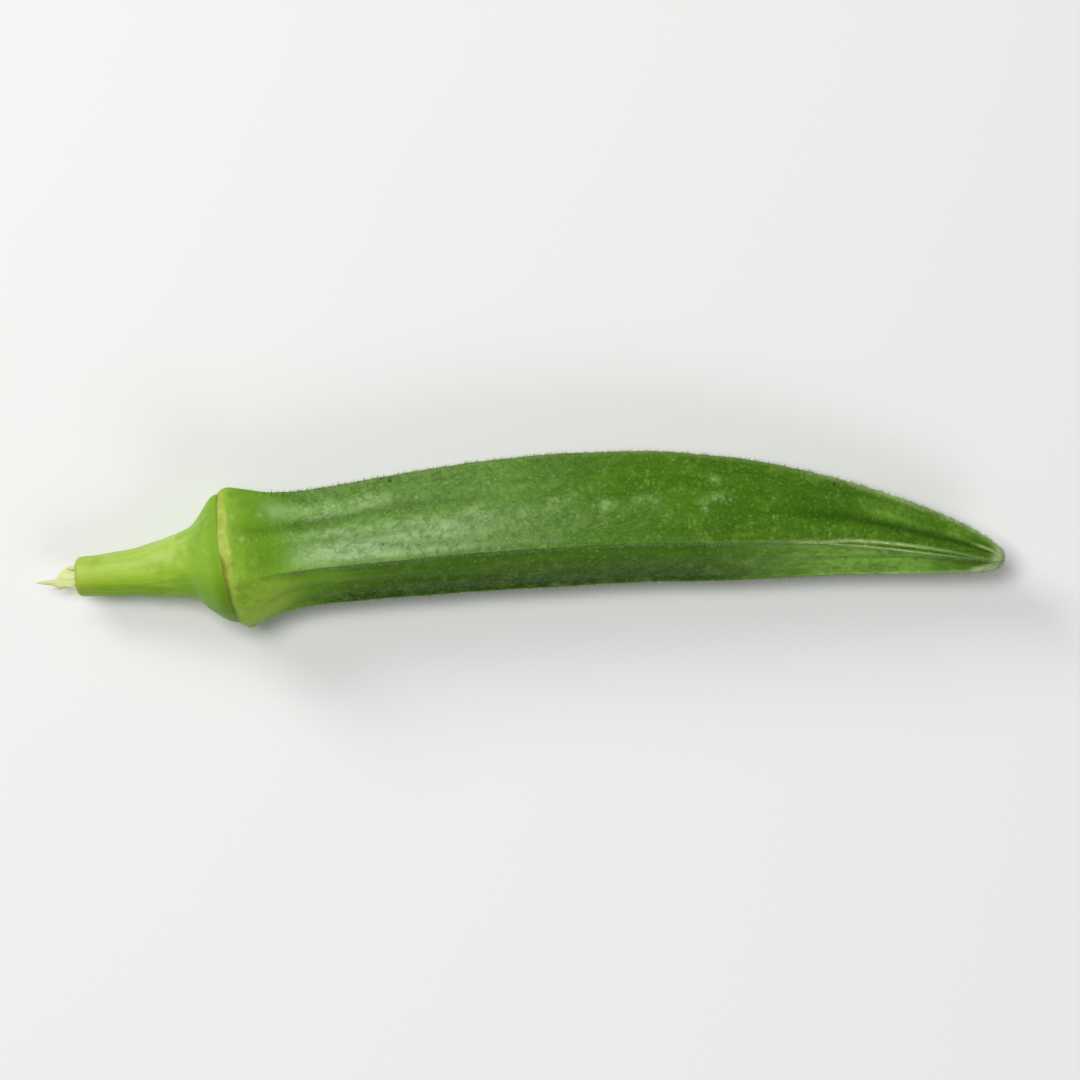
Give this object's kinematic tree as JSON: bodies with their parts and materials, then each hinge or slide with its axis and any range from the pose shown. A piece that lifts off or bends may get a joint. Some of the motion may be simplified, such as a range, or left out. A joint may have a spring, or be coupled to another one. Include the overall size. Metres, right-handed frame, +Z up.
{
  "type": "okra pod",
  "caption": "Whole green okra pod lying on its side: a ribbed, tapering seed capsule, a pale scar ring at its shoulder and a cut stalk with a torn tongue of bark.",
  "frame": {"origin": "middle of the footprint, on the surface that the pod lies on", "axes": "+X along the pod from the cut stalk to the tip, +Y towards the side that it arches to, +Z up"},
  "size_m": [0.1209, 0.022, 0.0166],
  "materials": {
    "pod_skin": "satin",
    "stem_skin": "satin"
  },
  "bodies": {
    "root": {"pod": "pod_skin", "stem": "stem_skin"}
  },
  "joints": []
}
